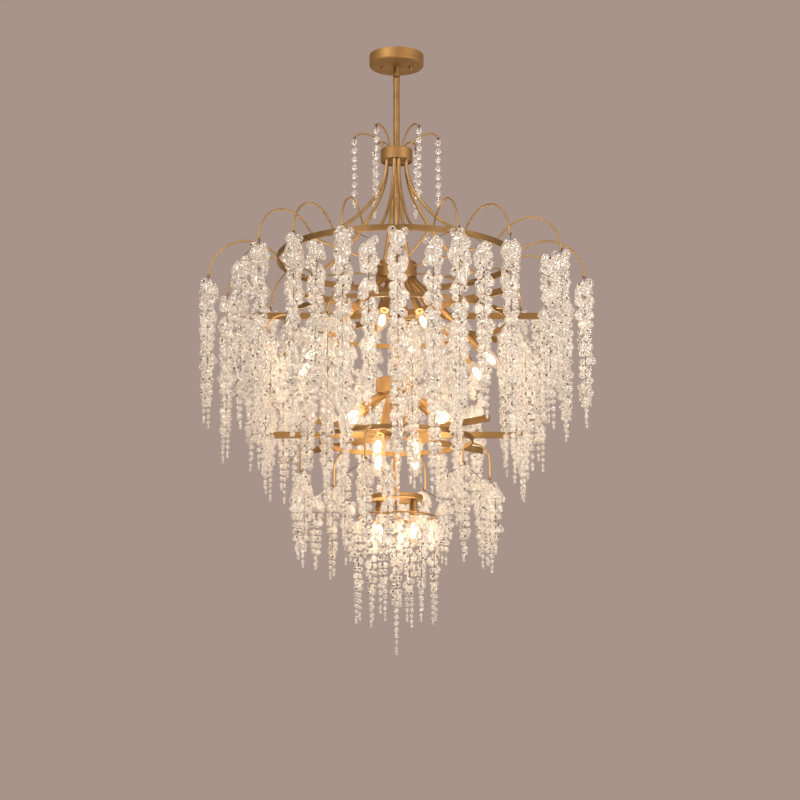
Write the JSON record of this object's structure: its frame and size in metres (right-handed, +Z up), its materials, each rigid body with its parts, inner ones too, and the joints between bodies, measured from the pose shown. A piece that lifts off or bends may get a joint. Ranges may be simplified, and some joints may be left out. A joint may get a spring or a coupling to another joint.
{
  "type": "crystal chandelier",
  "caption": "Tiered waterfall chandelier on a stem: arched gold wires carry swinging bunches of clear glass drops round slanted candle lamps under a ceiling canopy.",
  "frame": {"origin": "on the ceiling plane, midway between the two ceiling box screws", "axes": "+Z up to the ceiling, +X along the crossbar, -Y towards the front"},
  "size_m": [1.006, 1.006, 1.5423],
  "materials": {
    "gold_metal": "satin lacquered",
    "zinc_steel": "zinc plated",
    "crystal": "clear pressed glass",
    "bulb_glass": "clear bulb, lit"
  },
  "bodies": {
    "ceiling_mount": {"mounting_crossbar": "zinc_steel", "canopy_studs": "zinc_steel", "canopy": "gold_metal", "cap_nuts": "gold_metal", "hanger_nipple": "zinc_steel"},
    "swivel": {"swivel_socket": "gold_metal"},
    "frame": {"swivel_ball": "gold_metal", "downrod": "gold_metal", "crown_hub": "gold_metal", "crown_wires": "gold_metal", "main_arms": "gold_metal", "top_ring": "gold_metal", "ring_struts": "gold_metal", "centre_column": "gold_metal", "lamp_hubs": "gold_metal", "bottom_lamp_hub": "gold_metal", "lamp_tubes": "gold_metal", "lamp_sockets": "gold_metal", "bulbs": "bulb_glass", "tier_spokes": "gold_metal", "tier_rings": "gold_metal", "outer_arches": "gold_metal", "inner_arches": "gold_metal"},
    "crown_strand_01": {"crown_strand_01": "crystal"},
    "crown_strand_02": {"crown_strand_02": "crystal"},
    "crown_strand_03": {"crown_strand_03": "crystal"},
    "crown_strand_04": {"crown_strand_04": "crystal"},
    "crown_strand_05": {"crown_strand_05": "crystal"},
    "crown_strand_06": {"crown_strand_06": "crystal"},
    "outer_bunch_01": {"outer_bunch_01": "crystal"},
    "outer_bunch_02": {"outer_bunch_02": "crystal"},
    "outer_bunch_03": {"outer_bunch_03": "crystal"},
    "outer_bunch_04": {"outer_bunch_04": "crystal"},
    "outer_bunch_05": {"outer_bunch_05": "crystal"},
    "outer_bunch_06": {"outer_bunch_06": "crystal"},
    "outer_bunch_07": {"outer_bunch_07": "crystal"},
    "outer_bunch_08": {"outer_bunch_08": "crystal"},
    "outer_bunch_09": {"outer_bunch_09": "crystal"},
    "outer_bunch_10": {"outer_bunch_10": "crystal"},
    "outer_bunch_11": {"outer_bunch_11": "crystal"},
    "outer_bunch_12": {"outer_bunch_12": "crystal"},
    "outer_bunch_13": {"outer_bunch_13": "crystal"},
    "outer_bunch_14": {"outer_bunch_14": "crystal"},
    "outer_bunch_15": {"outer_bunch_15": "crystal"},
    "outer_bunch_16": {"outer_bunch_16": "crystal"},
    "middle_bunch_01": {"middle_bunch_01": "crystal"},
    "middle_bunch_02": {"middle_bunch_02": "crystal"},
    "middle_bunch_03": {"middle_bunch_03": "crystal"},
    "middle_bunch_04": {"middle_bunch_04": "crystal"},
    "middle_bunch_05": {"middle_bunch_05": "crystal"},
    "middle_bunch_06": {"middle_bunch_06": "crystal"},
    "middle_bunch_07": {"middle_bunch_07": "crystal"},
    "middle_bunch_08": {"middle_bunch_08": "crystal"},
    "lower_bunch_01": {"lower_bunch_01": "crystal"},
    "lower_bunch_02": {"lower_bunch_02": "crystal"},
    "lower_bunch_03": {"lower_bunch_03": "crystal"},
    "lower_bunch_04": {"lower_bunch_04": "crystal"},
    "lower_bunch_05": {"lower_bunch_05": "crystal"},
    "lower_bunch_06": {"lower_bunch_06": "crystal"},
    "bottom_tassel": {"bottom_tassel": "crystal"}
  },
  "joints": [
    {"name": "swivel_turn", "type": "hinge", "parent": "ceiling_mount", "child": "swivel", "pos_m": [0, 0, -0.0363], "axis": [0, 0, 1], "range_deg": [-170, 170]},
    {"name": "stem_tilt", "type": "hinge", "parent": "swivel", "child": "frame", "pos_m": [0, 0, -0.0533], "axis": [0, 1, 0], "range_deg": [-15, 15]},
    {"name": "crown_strand_01_swing", "type": "hinge", "parent": "frame", "child": "crown_strand_01", "pos_m": [0.107, 0.004, -0.2203], "axis": [0, -1, 0], "range_deg": [-6, 15]},
    {"name": "crown_strand_02_swing", "type": "hinge", "parent": "frame", "child": "crown_strand_02", "pos_m": [0.05004, 0.09466, -0.2203], "axis": [0.866, -0.5, 0], "range_deg": [-6, 15]},
    {"name": "crown_strand_03_swing", "type": "hinge", "parent": "frame", "child": "crown_strand_03", "pos_m": [-0.05696, 0.09066, -0.2203], "axis": [0.866, 0.5, 0], "range_deg": [-6, 15]},
    {"name": "crown_strand_04_swing", "type": "hinge", "parent": "frame", "child": "crown_strand_04", "pos_m": [-0.107, -0.004, -0.2203], "axis": [0, 1, 0], "range_deg": [-6, 15]},
    {"name": "crown_strand_05_swing", "type": "hinge", "parent": "frame", "child": "crown_strand_05", "pos_m": [-0.05004, -0.09466, -0.2203], "axis": [-0.866, 0.5, 0], "range_deg": [-6, 15]},
    {"name": "crown_strand_06_swing", "type": "hinge", "parent": "frame", "child": "crown_strand_06", "pos_m": [0.05696, -0.09066, -0.2203], "axis": [-0.866, -0.5, 0], "range_deg": [-6, 15]},
    {"name": "outer_bunch_01_swing", "type": "hinge", "parent": "frame", "child": "outer_bunch_01", "pos_m": [0.475, 0.004, -0.5875], "axis": [0, -1, 0], "range_deg": [-5, 20]},
    {"name": "outer_bunch_02_swing", "type": "hinge", "parent": "frame", "child": "outer_bunch_02", "pos_m": [0.43891, 0.18165, -0.5875], "axis": [0.3746, -0.9272, 0], "range_deg": [-5, 20]},
    {"name": "outer_bunch_03_swing", "type": "hinge", "parent": "frame", "child": "outer_bunch_03", "pos_m": [0.33305, 0.3387, -0.5875], "axis": [0.7071, -0.7071, 0], "range_deg": [-5, 20]},
    {"name": "outer_bunch_04_swing", "type": "hinge", "parent": "frame", "child": "outer_bunch_04", "pos_m": [0.17808, 0.44037, -0.5875], "axis": [0.9239, -0.3827, 0], "range_deg": [-5, 20]},
    {"name": "outer_bunch_05_swing", "type": "hinge", "parent": "frame", "child": "outer_bunch_05", "pos_m": [-0.004, 0.475, -0.5875], "axis": [1, 0, 0], "range_deg": [-5, 20]},
    {"name": "outer_bunch_06_swing", "type": "hinge", "parent": "frame", "child": "outer_bunch_06", "pos_m": [-0.18547, 0.43731, -0.5875], "axis": [0.9239, 0.3827, 0], "range_deg": [-5, 20]},
    {"name": "outer_bunch_07_swing", "type": "hinge", "parent": "frame", "child": "outer_bunch_07", "pos_m": [-0.3387, 0.33305, -0.5875], "axis": [0.7071, 0.7071, 0], "range_deg": [-5, 20]},
    {"name": "outer_bunch_08_swing", "type": "hinge", "parent": "frame", "child": "outer_bunch_08", "pos_m": [-0.44037, 0.17808, -0.5875], "axis": [0.3827, 0.9239, 0], "range_deg": [-5, 20]},
    {"name": "outer_bunch_09_swing", "type": "hinge", "parent": "frame", "child": "outer_bunch_09", "pos_m": [-0.475, -0.004, -0.5875], "axis": [0, 1, 0], "range_deg": [-5, 20]},
    {"name": "outer_bunch_10_swing", "type": "hinge", "parent": "frame", "child": "outer_bunch_10", "pos_m": [-0.32407, -0.34731, -0.5875], "axis": [-0.7254, 0.6884, 0], "range_deg": [-5, 20]},
    {"name": "outer_bunch_11_swing", "type": "hinge", "parent": "frame", "child": "outer_bunch_11", "pos_m": [-0.23907, -0.41047, -0.5875], "axis": [-0.8599, 0.5105, 0], "range_deg": [-5, 20]},
    {"name": "outer_bunch_12_swing", "type": "hinge", "parent": "frame", "child": "outer_bunch_12", "pos_m": [-0.12308, -0.45879, -0.5875], "axis": [-0.9636, 0.2672, 0], "range_deg": [-5, 20]},
    {"name": "outer_bunch_13_swing", "type": "hinge", "parent": "frame", "child": "outer_bunch_13", "pos_m": [0.004, -0.475, -0.5875], "axis": [-1, 0, 0], "range_deg": [-5, 20]},
    {"name": "outer_bunch_14_swing", "type": "hinge", "parent": "frame", "child": "outer_bunch_14", "pos_m": [0.14665, -0.45181, -0.5875], "axis": [-0.9537, -0.3007, 0], "range_deg": [-5, 20]},
    {"name": "outer_bunch_15_swing", "type": "hinge", "parent": "frame", "child": "outer_bunch_15", "pos_m": [0.26893, -0.39156, -0.5875], "axis": [-0.829, -0.5592, 0], "range_deg": [-5, 20]},
    {"name": "outer_bunch_16_swing", "type": "hinge", "parent": "frame", "child": "outer_bunch_16", "pos_m": [0.3983, -0.25883, -0.5875], "axis": [-0.5519, -0.8339, 0], "range_deg": [-5, 20]},
    {"name": "middle_bunch_01_swing", "type": "hinge", "parent": "frame", "child": "middle_bunch_01", "pos_m": [0.32062, 0.09005, -0.7531], "axis": [0.2588, -0.9659, 0], "range_deg": [-4, 8]},
    {"name": "middle_bunch_02_swing", "type": "hinge", "parent": "frame", "child": "middle_bunch_02", "pos_m": [0.16304, 0.29039, -0.7531], "axis": [0.866, -0.5, 0], "range_deg": [-4, 8]},
    {"name": "middle_bunch_03_swing", "type": "hinge", "parent": "frame", "child": "middle_bunch_03", "pos_m": [-0.09005, 0.32062, -0.7531], "axis": [0.9659, 0.2588, 0], "range_deg": [-4, 8]},
    {"name": "middle_bunch_04_swing", "type": "hinge", "parent": "frame", "child": "middle_bunch_04", "pos_m": [-0.29039, 0.16304, -0.7531], "axis": [0.5, 0.866, 0], "range_deg": [-4, 8]},
    {"name": "middle_bunch_05_swing", "type": "hinge", "parent": "frame", "child": "middle_bunch_05", "pos_m": [-0.32062, -0.09005, -0.7531], "axis": [-0.2588, 0.9659, 0], "range_deg": [-4, 8]},
    {"name": "middle_bunch_06_swing", "type": "hinge", "parent": "frame", "child": "middle_bunch_06", "pos_m": [-0.16304, -0.29039, -0.7531], "axis": [-0.866, 0.5, 0], "range_deg": [-4, 8]},
    {"name": "middle_bunch_07_swing", "type": "hinge", "parent": "frame", "child": "middle_bunch_07", "pos_m": [0.09005, -0.32062, -0.7531], "axis": [-0.9659, -0.2588, 0], "range_deg": [-4, 8]},
    {"name": "middle_bunch_08_swing", "type": "hinge", "parent": "frame", "child": "middle_bunch_08", "pos_m": [0.29039, -0.16304, -0.7531], "axis": [-0.5, -0.866, 0], "range_deg": [-4, 8]},
    {"name": "lower_bunch_01_swing", "type": "hinge", "parent": "frame", "child": "lower_bunch_01", "pos_m": [0.23392, 0.05381, -1.0951], "axis": [0.2079, -0.9781, 0], "range_deg": [-4, 8]},
    {"name": "lower_bunch_02_swing", "type": "hinge", "parent": "frame", "child": "lower_bunch_02", "pos_m": [0.07036, 0.22949, -1.0951], "axis": [0.9511, -0.309, 0], "range_deg": [-4, 8]},
    {"name": "lower_bunch_03_swing", "type": "hinge", "parent": "frame", "child": "lower_bunch_03", "pos_m": [-0.16356, 0.17568, -1.0951], "axis": [0.7431, 0.6691, 0], "range_deg": [-4, 8]},
    {"name": "lower_bunch_04_swing", "type": "hinge", "parent": "frame", "child": "lower_bunch_04", "pos_m": [-0.23392, -0.05381, -1.0951], "axis": [-0.2079, 0.9781, 0], "range_deg": [-4, 8]},
    {"name": "lower_bunch_05_swing", "type": "hinge", "parent": "frame", "child": "lower_bunch_05", "pos_m": [-0.07036, -0.22949, -1.0951], "axis": [-0.9511, 0.309, 0], "range_deg": [-4, 8]},
    {"name": "lower_bunch_06_swing", "type": "hinge", "parent": "frame", "child": "lower_bunch_06", "pos_m": [0.16356, -0.17568, -1.0951], "axis": [-0.7431, -0.6691, 0], "range_deg": [-4, 8]},
    {"name": "bottom_tassel_swing", "type": "hinge", "parent": "frame", "child": "bottom_tassel", "pos_m": [0, 0, -1.1703], "axis": [0, 1, 0], "range_deg": [-3, 3]}
  ]
}
